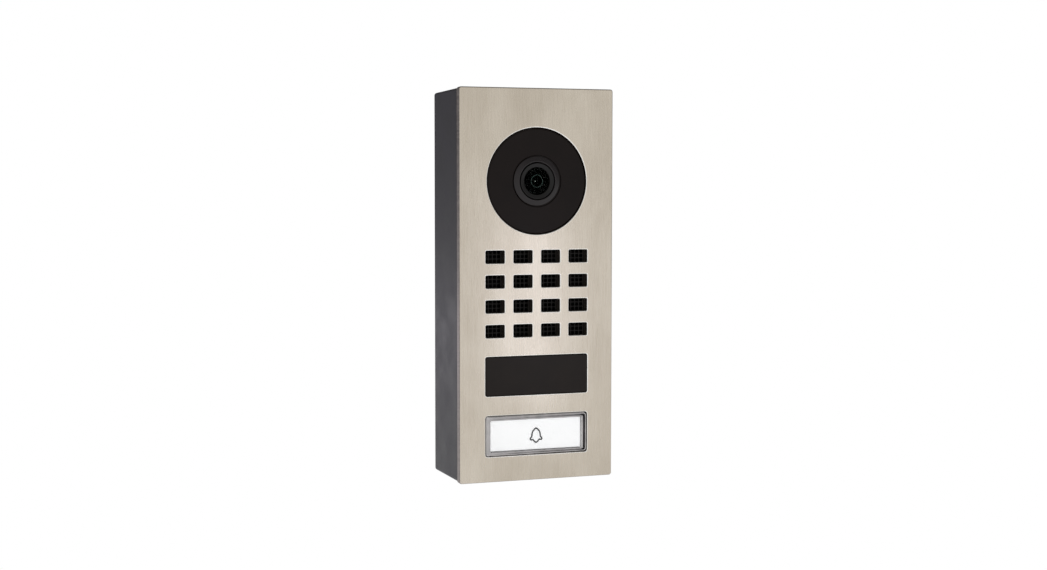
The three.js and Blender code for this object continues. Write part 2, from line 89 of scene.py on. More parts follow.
# The plate's two large openings: width, height, corner radius, x and z.
WINDOW_OPENING = (52.3 * MM, 18.75 * MM, 1 * MM, 0, -43 * MM)
BUTTON_OPENING = (52.2 * MM, 19.4 * MM, 1.2 * MM, 0, -71.55 * MM)
# The pieces that fill them: width, height and corner radius.
WINDOW_PANE = (51.7 * MM, 18.15 * MM, 0.9 * MM)
BUTTON_RIM = (51.8 * MM, 18.85 * MM, 1.0 * MM)
RIM_LEFT, RIM_DOWN = 0.05 * MM, 0.22 * MM

# The label is a little wider than its CAD node, and sits left of its middle and below it.
LABEL_EXTRA_WIDTH = 0.6 * MM
LABEL_LEFT, LABEL_DOWN = 0.27 * MM, 0.44 * MM
BELL_DOWN = 0.97 * MM
# To the right of this line, the groove in the button's rim runs deep, and its walls take a painted
# shade.
GROOVE_X = 23.2 * MM

HOUSING_FLOOR = 2.6 * MM
HOUSING_CORNER = 1.4 * MM
HOUSING_CAVITY = (73.8 * MM, 182.4 * MM, 0.8 * MM)
CABLE_WAY = (36 * MM, 24 * MM, 3 * MM, 0, 30 * MM)
WALL_SLOT_X, WALL_SLOT_Z = 26 * MM, 79 * MM
WALL_SLOT_RADIUS, WALL_SLOT_LENGTH = 2.6 * MM, 10 * MM
DRAIN_SIZE = (14 * MM, 2.5 * MM, 6 * MM)
DRAIN_Y = -6.75 * MM
SECURITY_X, SECURITY_Y = 22 * MM, -25.5 * MM

# How strongly the room lights the panel from in front and from behind, and the share of that
# light which is left high up and on the far right.
ROOM_FRONT, ROOM_BACK = 0.83, 0.2
ROOM_DIMMED = 0.5


# ---------------------------------------------------------------- contours


def middle(node):
    """The x and z of the middle of a CAD node's box."""
    low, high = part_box(node)
    return (low.x + high.x) / 2, (low.z + high.z) / 2


def rounded_rectangle(width, height, radius, x=0.0, z=0.0, steps=8):
    """A closed outline as a function: told how far to grow, it returns its (x, z) points."""

    def loop(grow=0.0):
        r = max(radius + grow, 0.01 * MM)
        half_width, half_height = width / 2 + grow - r, height / 2 + grow - r
        points = []
        for corner, (sign_x, sign_z) in enumerate(((1, 1), (-1, 1), (-1, -1), (1, -1))):
            for i in range(steps + 1):
                angle = (corner + i / steps) * math.pi / 2
                points.append(
                    (
                        x + sign_x * half_width + r * math.cos(angle),
                        z + sign_z * half_height + r * math.sin(angle),
                    )
                )
        return points

    return loop


def circle(radius, x=0.0, z=0.0, steps=96):
    def loop(grow=0.0):
        r = radius + grow
        angles = [2 * math.pi * i / steps for i in range(steps)]
        return [(x + r * math.cos(a), z + r * math.sin(a)) for a in angles]

    return loop


def softened(points, radius, steps=4):
    """A closed profile with each corner rounded by an arc of up to that radius."""
    made = []
    count = len(points)
    for i, point in enumerate(points):
        here = Vector(point)
        before = Vector(points[i - 1]) - here
        after = Vector(points[(i + 1) % count]) - here
        turn = math.pi - before.angle(after)
        if turn < math.radians(12) or here.x < 0.005 * MM:
            made.append(tuple(here))
            continue
        reach = min(radius * math.tan(turn / 2), before.length * 0.45, after.length * 0.45)
        start = here + before.normalized() * reach
        end = here + after.normalized() * reach
        for k in range(steps + 1):
            t = k / steps
            curve = start * (1 - t) ** 2 + here * 2 * t * (1 - t) + end * t**2
            made.append(tuple(curve))
    return made


# ---------------------------------------------------------------- meshes


def ring(mesh, loop, y):
    """New vertices along a closed loop of (x, z) points, at a depth of y."""
    return [mesh.verts.new((x, y, z)) for x, z in loop]


def bridge(mesh, first, second, material=0):
    """A band of faces between two rings of as many vertices."""
    count = len(first)
    for i in range(count):
        j = (i + 1) % count
        face = mesh.faces.new((first[i], first[j], second[j], second[i]))
        face.material_index = material


def cap(mesh, rings):
    """Fills the flat area inside the first ring and outside the others."""
    flat = [vert for loop in rings for vert in loop]
    loops = [[Vector((vert.co.x, vert.co.z, 0)) for vert in loop] for loop in rings]
    for triangle in tessellate_polygon(loops):
        mesh.faces.new([flat[i] for i in triangle])


def edge_levels(front, back, front_edge, back_edge, steps=EDGE_STEPS):
    """The (inset, y) pairs of a rounded front edge, the side below it and a rounded back edge."""
    quarter = [i / steps * math.pi / 2 for i in range(steps + 1)]
    front_levels = [
        (front_edge * (1 - math.sin(a)), front + front_edge * (1 - math.cos(a))) for a in quarter
    ]
    back_levels = [
        (back_edge * (1 - math.cos(a)), back - back_edge * (1 - math.sin(a))) for a in quarter
    ]
    return front_levels + back_levels


def slab(outline, holes, front, back, edge, back_edge=None, hole_edge=None, painted_edges=False):
    """A flat piece across Y whose outer edge and hole edges are rounded.

    With painted edges, the holes' rounded front edges take the second material, a painted
    highlight, and the outer side takes the third, a steel darkened with painted shade.
    """
    mesh = bmesh.new()
    back_edge = edge if back_edge is None else back_edge
    hole_edge = edge if hole_edge is None else hole_edge
    fronts, backs = [], []
    for contour, sign, size, back_size in [
        (outline, -1, edge, back_edge),
        *[(hole, 1, hole_edge, min(hole_edge, back_edge)) for hole in holes],
    ]:
        rings = [
            ring(mesh, contour(sign * inset), y)
            for inset, y in edge_levels(front, back, size, back_size)
        ]
        for step, (first, second) in enumerate(zip(rings, rings[1:])):
            material = 0
            if painted_edges and sign > 0 and step < EDGE_STEPS:
                material = 1
            elif painted_edges and sign < 0 and step >= EDGE_STEPS // 2:
                material = 2
            bridge(mesh, first, second, material)
        fronts.append(rings[0])
        backs.append(rings[-1])
    cap(mesh, fronts)
    cap(mesh, backs)
    return mesh


def lathe(profile, x=0.0, z=0.0, segments=96):
    """A closed profile of (radius, y) points turned about an axis along Y through (x, z)."""
    mesh = bmesh.new()
    rings = []
    for radius, y in profile:
        if radius < 0.005 * MM:
            rings.append([mesh.verts.new((x, y, z))])
        else:
            rings.append(ring(mesh, circle(radius, x, z, segments)(), y))
    for first, second in zip(rings, rings[1:] + rings[:1]):
        if len(first) == 1 and len(second) == 1:
            continue
        if len(first) > 1 and len(second) > 1:
            bridge(mesh, first, second)
            continue
        tip, rim = (first, second) if len(first) == 1 else (second, first)
        for i in range(segments):
            mesh.faces.new((tip[0], rim[i], rim[(i + 1) % segments]))
    return mesh


def tube(points, radius, sides=10):
    """A round bar along a list of points, closed at both ends."""
    mesh = bmesh.new()
    rings = []
    for i, point in enumerate(points):
        ahead = points[min(i + 1, len(points) - 1)] - points[max(i - 1, 0)]
        turn = ahead.to_track_quat("Z", "Y")
        loop = [
            point + turn @ Vector((math.cos(a), math.sin(a), 0)) * radius
            for a in (2 * math.pi * k / sides for k in range(sides))
        ]
        rings.append([mesh.verts.new(vert) for vert in loop])
    for first, second in zip(rings, rings[1:]):
        bridge(mesh, first, second)
    mesh.faces.new(rings[0])
    mesh.faces.new(rings[-1])
    return mesh


def merged(*meshes):
    """One bmesh holding all the given ones."""
    whole = bmesh.new()
    for mesh in meshes:
        data = bpy.data.meshes.new("part")
        mesh.to_mesh(data)
        mesh.free()
        whole.from_mesh(data)
        bpy.data.meshes.remove(data)
    return whole


def object_from(mesh, name):
    """Turns a bmesh into an object of the scene, with its normals outward."""
    bmesh.ops.recalc_face_normals(mesh, faces=mesh.faces)
    data = bpy.data.meshes.new(name)
    mesh.to_mesh(data)
    mesh.free()
    made = bpy.data.objects.new(name, data)
    bpy.context.scene.collection.objects.link(made)
    return made


def smooth(obj, angle=40):
    """Smooth shading that keeps flat faces flat and creases sharp."""
    for face in obj.data.polygons:
        face.use_smooth = True
    obj.data.set_sharp_from_angle(angle=math.radians(angle))
    weighted = obj.modifiers.new("weighted_normals", "WEIGHTED_NORMAL")
    weighted.keep_sharp = True


def carve(mesh, *cutters):
    """A bmesh with the other bmeshes cut out of it."""
    whole = object_from(mesh, "carved")
    tools = [object_from(cutter, "cutter") for cutter in cutters]
    for tool in tools:
        cut = whole.modifiers.new("cut", "BOOLEAN")
        cut.object = tool
        cut.solver = "EXACT"
    graph = bpy.context.evaluated_depsgraph_get()
    result = bmesh.new()
    result.from_object(whole, graph)
    for used in (whole, *tools):
        data = used.data
        bpy.data.objects.remove(used)
        bpy.data.meshes.remove(data)
    return result


def piece(name, mesh, material, replaced=(), body="panel"):
    """A finished piece on its body, standing for the CAD nodes it replaces."""
    made = object_from(mesh, name)
    made.data.materials.append(material)
    smooth(made)
    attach(made, body)
    if replaced:
        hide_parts(*replaced)
    return made


# ---------------------------------------------------------------- materials


def surface(name, colour, roughness, **sockets):
    """A material with one Principled shader. Returns the material, its nodes and the shader."""
    made = bpy.data.materials.new(name)
    made.use_nodes = True
    tree = made.node_tree
    shader = tree.nodes["Principled BSDF"]
    shader.inputs["Base Color"].default_value = (*colour, 1)
    shader.inputs["Roughness"].default_value = roughness
    for socket, value in sockets.items():
        shader.inputs[socket.replace("_", " ")].default_value = value
    return made, tree, shader


def noise(tree, scale, detail=2.0, stretch=(1, 1, 1)):
    """Noise fixed to the object, with features of 1/scale metres. Stretch draws them out."""
    place = tree.nodes.new("ShaderNodeTexCoord")
    mapping = tree.nodes.new("ShaderNodeMapping")
    mapping.inputs["Scale"].default_value = stretch
    texture = tree.nodes.new("ShaderNodeTexNoise")
    texture.inputs["Scale"].default_value = scale
    texture.inputs["Detail"].default_value = detail
    tree.links.new(place.outputs["Object"], mapping.inputs["Vector"])
    tree.links.new(mapping.outputs["Vector"], texture.inputs["Vector"])
    return texture.outputs["Fac"]


def blended(tree, first, second, share):
    """A mix of two grey patterns."""
    mix = tree.nodes.new("ShaderNodeMix")
    mix.inputs["Factor"].default_value = share
    tree.links.new(first, mix.inputs["A"])
    tree.links.new(second, mix.inputs["B"])
    return mix.outputs["Result"]


def colour_from(tree, shader, pattern, dark, light, low=0.35, high=0.65):
    ramp = tree.nodes.new("ShaderNodeValToRGB")
    ramp.color_ramp.elements[0].position = low
    ramp.color_ramp.elements[0].color = (*dark, 1)
    ramp.color_ramp.elements[1].position = high
    ramp.color_ramp.elements[1].color = (*light, 1)
    tree.links.new(pattern, ramp.inputs["Fac"])
    tree.links.new(ramp.outputs["Color"], shader.inputs["Base Color"])


def roughness_from(tree, shader, pattern, low, high):
    spread = tree.nodes.new("ShaderNodeMapRange")
    spread.inputs["From Min"].default_value = 0.3
    spread.inputs["From Max"].default_value = 0.7
    spread.inputs["To Min"].default_value = low
    spread.inputs["To Max"].default_value = high
    tree.links.new(pattern, spread.inputs["Value"])
    tree.links.new(spread.outputs["Result"], shader.inputs["Roughness"])


def bump_from(tree, shader, pattern, depth, strength=1.0):
    bump = tree.nodes.new("ShaderNodeBump")
    bump.inputs["Strength"].default_value = strength
    bump.inputs["Distance"].default_value = depth
    tree.links.new(pattern, bump.inputs["Height"])
    tree.links.new(bump.outputs["Normal"], shader.inputs["Normal"])


def shade(colour, factor):
    return tuple(channel * factor for channel in colour)


def grained(name, colour, roughness, scale, depth, spread=0.12, **sockets):
    """A moulded or coated surface, with a fine grain and slow changes in colour and gloss."""
    made, tree, shader = surface(name, colour, roughness, **sockets)
    fine = noise(tree, scale, 3)
    slow = noise(tree, 90, 2)
    colour_from(tree, shader, slow, shade(colour, 1 - spread), shade(colour, 1 + spread))
    roughness_from(tree, shader, slow, roughness * 0.9, roughness * 1.1)
    bump_from(tree, shader, fine, depth)
    return made


def brushed_steel():
    """Stainless steel with an upright brushed grain, a little warm."""
    made, tree, shader = surface("brushed_stainless", (0.6, 0.54, 0.45), 0.28, Metallic=1.0)
    hair = noise(tree, 4200, 2, (1, 1, 0.03))
    streak = noise(tree, 1300, 3, (1, 1, 0.06))
    cloud = noise(tree, 60, 3, (1, 1, 0.45))
    grain = blended(tree, hair, streak, 0.35)
    tone = blended(tree, grain, cloud, 0.6)
    colour_from(tree, shader, tone, (0.56, 0.5, 0.417), (0.68, 0.619, 0.53))
    roughness_from(tree, shader, grain, 0.23, 0.33)
    bump_from(tree, shader, grain, 0.01 * MM, 0.5)
    return made


def painted_highlight_rim():
    """A bright steel rim round each opening in the front plate, brighter than the brushed sheet: a
    painted highlight along the hole edges.
    """
    made, tree, shader = surface("painted_highlight_rim", (0.86, 0.83, 0.78), 0.3, Metallic=1.0)
    grain = noise(tree, 2600, 2)
    colour_from(tree, shader, grain, (0.9, 0.88, 0.83), (0.98, 0.96, 0.92))
    roughness_from(tree, shader, grain, 0.24, 0.36)
    return made


def cut_edge_painted_shade():
    """Steel of the plate's outer side, rougher where the sheet was cut and ground; its darker
    colour is painted shade along the side and the outer rounded edge.
    """
    made, tree, shader = surface("cut_edge_painted_shade", (0.3, 0.27, 0.26), 0.42, Metallic=1.0)
    grain = noise(tree, 1600, 3, (1, 0.1, 1))
    colour_from(tree, shader, grain, (0.24, 0.215, 0.21), (0.37, 0.33, 0.32))
    roughness_from(tree, shader, grain, 0.36, 0.5)
    bump_from(tree, shader, grain, 0.01 * MM, 0.4)
    return made


def clear_plastic():
    made, tree, shader = surface(
        "clear_plastic", (0.97, 0.975, 0.97), 0.03, Transmission_Weight=1.0, IOR=1.49
    )
    bump_from(tree, shader, noise(tree, 140, 2), 0.01 * MM, 0.3)
    return made


def frosted_plastic():
    """The rim of the clear cap, which looks pale grey where nothing white lies behind it."""
    made, tree, shader = surface(
        "frosted_plastic", (0.66, 0.64, 0.64), 0.1, Transmission_Weight=0.2, IOR=1.49
    )
    cloud = noise(tree, 160, 2)
    colour_from(tree, shader, cloud, (0.56, 0.545, 0.545), (0.74, 0.715, 0.72))
    roughness_from(tree, shader, cloud, 0.07, 0.14)
    bump_from(tree, shader, noise(tree, 420, 2), 0.03 * MM, 0.3)
    return made


def optical_glass():
    made, tree, shader = surface(
        "optical_glass", (0.75, 0.8, 0.77), 0.01, Transmission_Weight=1.0, IOR=1.02
    )
    bump_from(tree, shader, noise(tree, 300, 1), 0.0005 * MM, 0.1)
    return made


def glint_bead_coating():
    """A mirror-bright coating on a small bead in the lens, a painted highlight: it stands in for a
    lamp's glint in the inner glass.
    """
    made, tree, shader = surface("glint_bead_coating", (0.6, 0.62, 0.6), 0.12, Metallic=1.0)
    cloud = noise(tree, 3000, 1)
    colour_from(tree, shader, cloud, (0.55, 0.57, 0.55), (0.64, 0.66, 0.64))
    roughness_from(tree, shader, cloud, 0.1, 0.15)
    return made


def label_card():
    # The emission is painted light: the card glows to stand in for the light falling on it through
    # the clear pane.
    made, tree, shader = surface("label_card", (0.92, 0.92, 0.93), 0.45, Emission_Strength=0.46)
    shader.inputs["Emission Color"].default_value = (1, 1, 1, 1)
    paper = noise(tree, 2600, 3)
    colour_from(tree, shader, paper, (0.9, 0.9, 0.91), (0.94, 0.94, 0.95))
    bump_from(tree, shader, paper, 0.004 * MM, 0.4)
    return made


def copper():
    made, tree, shader = surface("copper", (0.65, 0.3, 0.16), 0.35, Metallic=1.0)
    lines = noise(tree, 2400, 2, (1, 1, 0.1))
    colour_from(tree, shader, lines, (0.55, 0.24, 0.12), (0.72, 0.36, 0.2))
    roughness_from(tree, shader, lines, 0.28, 0.42)
    return made


def plated_steel():
    made, tree, shader = surface("zinc_plated_steel", (0.55, 0.56, 0.58), 0.3, Metallic=1.0)
    cloud = noise(tree, 900, 3)
    colour_from(tree, shader, cloud, (0.46, 0.47, 0.5), (0.62, 0.62, 0.63))
    roughness_from(tree, shader, cloud, 0.22, 0.38)
    bump_from(tree, shader, noise(tree, 4000, 2), 0.004 * MM, 0.4)
    return made


def circuit_board():
    """Green solder mask over faint copper tracks."""
    made, tree, shader = surface("circuit_board", (0.02, 0.12, 0.045), 0.4)
    tracks = noise(tree, 420, 0, (1, 1, 0.25))
    colour_from(tree, shader, tracks, (0.012, 0.085, 0.03), (0.03, 0.17, 0.065), 0.48, 0.52)
    bump_from(tree, shader, tracks, 0.02 * MM, 0.3)
    return made


MATERIALS = {
    "brushed_stainless": brushed_steel(),
    "painted_highlight_rim": painted_highlight_rim(),
    "cut_edge_painted_shade": cut_edge_painted_shade(),
    "charcoal_coat": grained(
        "charcoal_coat", (0.029, 0.027, 0.037), 0.45, 2600, 0.02 * MM, Specular_IOR_Level=0.4
    ),
    "tinted_plastic": grained(
        "tinted_plastic", (0.0072, 0.0042, 0.0036), 0.34, 5200, 0.003 * MM, Specular_IOR_Level=0.14
    ),
    "dark_metal": grained(
        "dark_metal", (0.0115, 0.0085, 0.0095), 0.42, 4200, 0.004 * MM, Specular_IOR_Level=0.4
    ),
    "black_plastic": grained(
        "black_plastic", (0.006, 0.006, 0.006), 0.5, 2400, 0.01 * MM, Specular_IOR_Level=0.35
    ),
    "window_plastic": grained(
        "window_plastic", (0.0135, 0.0098, 0.0085), 0.36, 5200, 0.003 * MM, Specular_IOR_Level=0.16
    ),
    "optical_glass": optical_glass(),
    "clear_plastic": clear_plastic(),
    "frosted_plastic": frosted_plastic(),
    "label_card": label_card(),
    "groove_shade": grained("groove_shade", (0.03, 0.028, 0.028), 0.3, 3000, 0.004 * MM),
    "grid_bar": grained(
        "grid_bar", (0.007, 0.006, 0.0055), 0.45, 2400, 0.006 * MM, Specular_IOR_Level=0.2
    ),
    # Near-black: the microphone's own felt, and painted shade on the parts behind the sound slots.
    "black_felt_and_shade": grained(
        "black_felt_and_shade", (0.001, 0.0009, 0.0008), 0.6, 2400, 0.006 * MM, Specular_IOR_Level=0.06
    ),
    # Near-black, painted shade for the dark depth of the lens, on the iris seat and on the inner
    # glass, which is drawn opaque.
    "lens_depth_shade": grained(
        "lens_depth_shade", (0.0006, 0.0006, 0.0006), 0.5, 3000, 0.002 * MM, Specular_IOR_Level=0.03
    ),
    "lens_black": grained(
        "lens_black", (0.0045, 0.004, 0.004), 0.42, 3000, 0.004 * MM, Specular_IOR_Level=0.3
    ),
    "iris_coating": grained(
        "iris_coating", (0.03, 0.055, 0.05), 0.3, 3000, 0.002 * MM, Specular_IOR_Level=0.5
    ),
    "glint_bead_coating": glint_bead_coating(),
    "ink": grained("ink", (0.008, 0.008, 0.009), 0.5, 3000, 0.002 * MM),
    "white_plastic": grained("white_plastic", (0.88, 0.88, 0.87), 0.4, 2600, 0.01 * MM, 0.03),
    "black_rubber": grained("black_rubber", (0.014, 0.014, 0.015), 0.8, 1800, 0.04 * MM),
    "grey_foam": grained("grey_foam", (0.045, 0.045, 0.048), 0.95, 1500, 0.2 * MM, 0.3),
    "circuit_board": circuit_board(),
    "chip_resin": grained("chip_resin", (0.014, 0.014, 0.016), 0.5, 3000, 0.015 * MM),
    "zinc_plated_steel": plated_steel(),
    "ferrite": grained("ferrite", (0.09, 0.09, 0.1), 0.42, 1800, 0.02 * MM, 0.2),
    "terminal_resin": grained("terminal_resin", (0.03, 0.27, 0.08), 0.45, 2600, 0.01 * MM),
    "copper": copper(),
}


# ---------------------------------------------------------------- front plate and housing


def front_plate():
    """The brushed sheet with all its openings, and the four threaded studs welded behind it."""
    low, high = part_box("front_plate")
    rear = low.y + PLATE_THICKNESS
    holes = [
        rounded_rectangle(*SLOT_SIZE, SLOT_CORNER, x, z, 5) for x in SLOT_COLUMNS for z in SLOT_ROWS
    ]
    holes.append(circle(CAMERA_OPENING, *CAMERA_CENTRE, 160))
    holes.append(rounded_rectangle(*WINDOW_OPENING))
    holes.append(rounded_rectangle(*BUTTON_OPENING))
    outline = rounded_rectangle(high.x - low.x, high.z - low.z, PLATE_CORNER)
    plate = slab(
        outline,
        holes,
        low.y,
        rear,
        edge=0.6 * MM,
        back_edge=0.2 * MM,
        hole_edge=0.42 * MM,
        painted_edges=True,
    )
    bore, outside = 1.5 * MM, 2.4 * MM
    root = rear - 0.2 * MM
    profile = softened(
        [(bore, root), (outside, root), (outside, high.y), (bore, high.y)], 0.2 * MM
    )
    studs = [lathe(profile, x, z, 40) for x in (-STUD_X, STUD_X) for z in (-STUD_Z, STUD_Z)]
    made = piece(
        "brushed_front",
        merged(plate, *studs),
        MATERIALS["brushed_stainless"],
        ["front_plate"],
    )
    # The second material paints a highlight on the hole edges, the third paints shade on the outer
    # side.
    made.data.materials.append(MATERIALS["painted_highlight_rim"])
    made.data.materials.append(MATERIALS["cut_edge_painted_shade"])


# ---------------------------------------------------------------- camera


def camera_disc():
    """The dark disc: a face with a collar round the lens, and a flange behind the plate."""
    x, z = CAMERA_CENTRE
    low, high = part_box("camera_bezel")
    front, flange, back = low.y, low.y + 4.45 * MM, high.y
    seat, skin = front + 0.5 * MM, front + 1.9 * MM
    lens_hole, collar, hollow, rim, outside = (r * MM for r in (11.4, 13.5, 23.4, 25.05, 28))
    profile = [
        (lens_hole, seat),
        (12.2 * MM, seat),
        (12.35 * MM, front),
        (rim - 0.9 * MM, front),
        (rim - 0.55 * MM, front + 0.12 * MM),
        (rim, front + 0.6 * MM),
        (rim, flange),
        (outside, flange),
        (outside, back),
        (hollow, back),
        (hollow, skin),
        (collar, skin),
        (collar, back),
        (lens_hole, back),
    ]
    mesh = lathe(softened(profile, 0.15 * MM, 3), x, z, 160)
    piece("camera_disc", mesh, MATERIALS["tinted_plastic"], ["camera_bezel"])


def lens_parts():
    """The lens: a dark cone, a black barrel with stepped baffles, its glass and a coated iris."""
    x, z = LENS_CENTRE
    y = PLATE_FRONT

    def turned(name, points, soft, material, replaced=()):
        profile = softened([(radius * MM, y + depth * MM) for radius, depth in points], soft * MM)
        return piece(name, lathe(profile, x, z, 128), MATERIALS[material], replaced)

    cone = [
        (8.9, -1.0),
        (9.15, -1.35),
        (9.5, -1.35),
        (11.6, -0.2),
        (11.6, 0.3),
        (11.3, 0.3),
        (11.3, 5.6),
        (8.9, 5.6),
    ]
    turned("lens_cone", cone, 0.15, "dark_metal", ["lens_ring"])
    barrel = [
        (6.5, -0.55),
        (6.65, -0.8),
        (8.3, -1.42),
        (8.55, -1.15),
        (8.55, 4),
        (6, 5.2),
        (6, 12.6),
        (4.2, 12.6),
        (4.2, 1.2),
        (6.25, 0.9),
    ]
    turned("lens_tube", barrel, 0.12, "lens_black", ["lens_barrel"])
    dome = [
        (0, -1.25),
        (1.6, -1.2),
        (3.2, -1.06),
        (4.8, -0.82),
        (6.45, -0.4),
        (6.45, -0.1),
        (0, -0.75),
    ]
    glass = turned("lens_dome", dome, 0.05, "optical_glass", ["lens_front_glass"])
    glass.visible_shadow = False
    seat = [(2.95, -0.35), (6.3, 0), (6.3, 1), (4.2, 1), (4.2, 2.2), (2.6, 2.2), (2.6, -0.25)]
    turned("iris_seat", seat, 0.05, "lens_depth_shade", ["aperture_ring"])
    iris = [(2.72, -0.5), (2.9, -0.62), (2.98, -0.55), (2.98, -0.2), (2.72, -0.2)]
    turned("iris_ring", iris, 0.03, "iris_coating")
    # The inner glass is opaque and near-black: painted shade for the dark inside of the lens.
    inner = [(0, 1.6), (0.7, 1.62), (1.4, 1.68), (2.1, 1.78), (2.7, 1.9), (2.7, 3), (0, 3)]
    turned("lens_inner_glass", inner, 0.1, "lens_depth_shade", ["lens_rear_glass"])
    # A bright bead on the lens axis, put there as a painted highlight.
    bead = [(0, 1.3), (0.16, 1.33), (0.3, 1.42), (0.38, 1.56), (0.38, 1.8), (0, 1.8)]
    turned("lens_glint_bead", bead, 0.02, "glint_bead_coating")


# ---------------------------------------------------------------- sound grid


def sound_grid():
    """A moulded sheet behind the slots, with a fine square grid inside each one."""
    low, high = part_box("speaker_guard")
    pitch, opening = 2.1 * MM, 1.7 * MM
    outline = rounded_rectangle(
        high.x - low.x, high.z - low.z, 2 * MM, *middle("speaker_guard")
    )
    holes = [
        rounded_rectangle(opening, opening, 0.2 * MM, x + i * pitch, z + k * pitch, 2)
        for x in SLOT_COLUMNS
        for z in SLOT_ROWS
        for i in (-1.5, -0.5, 0.5, 1.5)
        for k in (-1, 0, 1)
    ]
    mesh = slab(outline, holes, low.y, high.y, 0.1 * MM, 0.1 * MM, 0.08 * MM)
    piece("sound_grid", mesh, MATERIALS["grid_bar"], ["speaker_guard"])


# ---------------------------------------------------------------- sensor window


def sensor_pane():
    """The tinted pane, flush in its opening, on a flange behind the plate."""
    low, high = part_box("sensor_window")
    x, z = middle("sensor_window")
    pane = rounded_rectangle(*WINDOW_PANE, x, z)
    flange = rounded_rectangle(high.x - low.x, high.z - low.z, 1.5 * MM, x, z)
    step = low.y + 4.5 * MM
    mesh = merged(
        slab(pane, [], low.y, step + 0.2 * MM, 0.25 * MM),
        slab(flange, [], step, high.y, 0.15 * MM),
    )
    piece("sensor_pane", mesh, MATERIALS["window_plastic"], ["sensor_window"])


# ---------------------------------------------------------------- call button


def label_frame(margin, corner):
    """The visible label's outline, grown by a margin."""
    low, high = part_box("name_label")
    x, z = middle("name_label")
    width, height = high.x - low.x + LABEL_EXTRA_WIDTH, high.z - low.z
    return rounded_rectangle(
        width + 2 * margin, height + 2 * margin, corner, x - LABEL_LEFT, z - LABEL_DOWN, 6
    )


def rim_frame(inner, outer, profile, front, groove_steps, dark_steps):
    """The closed frame between two contours, from a profile of (share, depth) across it.

    The share runs from 0 at the inner contour to 1 at the outer one, and the depth is in
    millimetres. On the frame's right side the groove runs deep, and the dark steps take the
    second material, a painted shade in the groove. Elsewhere the groove is a faint line.
    """
    mesh = bmesh.new()
    rings = []
    faint = 0.14
    corner_reach = 0.5 * MM
    for step, (share, depth) in enumerate(profile):
        verts = []
        for a, b in zip(inner(), outer()):
            point = Vector(a).lerp(Vector(b), share)
            right = point.x > GROOVE_X - corner_reach
            deep = faint if step in groove_steps and not right else depth
            verts.append(mesh.verts.new((point.x, front + deep * MM, point.y)))
        rings.append(verts)
    for step, (first, second) in enumerate(zip(rings, rings[1:] + rings[:1])):
        bridge(mesh, first, second)
        if step in dark_steps:
            for face in list(mesh.faces)[-len(first) :]:
                face.material_index = int(face.calc_center_median().x > GROOVE_X)
    return mesh


def button_cap():
    """A frosted rim with a groove round it, and a clear pane over the label."""
    low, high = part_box("button_cap")
    x, z = middle("button_cap")
    front = low.y
    outer = rounded_rectangle(*BUTTON_RIM, x - RIM_LEFT, z - RIM_DOWN, 6)
    pocket = label_frame(0.3 * MM, 0.7 * MM)
    profile = [
        (0, 1.9),
        (0, 0.5),
        (0.08, 0.1),
        (0.12, 0.04),
        (0.26, 0.04),
        (0.29, 0.14),
        (0.32, 2),
        (0.62, 2),
        (0.66, 0.12),
        (0.69, 0),
        (0.8, 0),
        (0.83, 0.06),
        (1, 0.9),
        (1, 6),
        (0, 6),
    ]
    rim_mesh = rim_frame(pocket, outer, profile, front, (6, 7, 12), (6, 7, 11))
    rim = piece(
        "button_rim", rim_mesh, MATERIALS["frosted_plastic"], ["button_cap"], CALL
    )
    rim.data.materials.append(MATERIALS["groove_shade"])
    hole = rounded_rectangle(49 * MM, 16 * MM, 0.5 * MM, x, z, 6)
    flange = rounded_rectangle(high.x - low.x, high.z - low.z, 1.4 * MM, x, z, 6)
    skirt = slab(flange, [hole], front + 5 * MM, high.y, 0.1 * MM)
    piece("button_flange", skirt, MATERIALS["frosted_plastic"], (), CALL)
    cover = label_frame(0.28 * MM, 0.68 * MM)
    pane = slab(cover, [], front + 0.3 * MM, front + 1.6 * MM, 0.1 * MM)
    clear = piece("button_pane", pane, MATERIALS["clear_plastic"], (), CALL)
    clear.visible_shadow = False


def name_label():
    """The white card behind the clear pane, glowing with painted light, with a plain bell on it."""
    low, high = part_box("name_label")
    x, z = middle("name_label")
    card = slab(label_frame(0, 0.45 * MM), [], low.y, high.y, 0.05 * MM)
    piece("label_card", card, MATERIALS["label_card"], ["name_label"], CALL)
    bell_symbol(x, z - BELL_DOWN, low.y)


def bell_outline():
    """The right half of a plain bell, from its crown down to its clapper, in millimetres."""
    return [
        (0, 3.45),
        (0.95, 2.75),
        (1.75, 1.8),
        (2.1, 0.65),
        (2.25, -0.6),
        (2.95, -1.45),
        (2.7, -2.15),
        (1.6, -2.1),
        (0.9, -2.85),
    ]


def closed_curve(points, steps=6):
    """A smooth closed line through the points."""
    count = len(points)
    made = []
    for i in range(count):
        a, b, c, d = (Vector(points[(i + k - 1) % count]) for k in range(4))
        for step in range(steps):
            t = step / steps
            made.append(
                (
                    b * 2
                    + (c - a) * t
                    + (a * 2 - b * 5 + c * 4 - d) * t**2
                    + (b * 3 - a - c * 3 + d) * t**3
                )
                / 2
            )
    return made


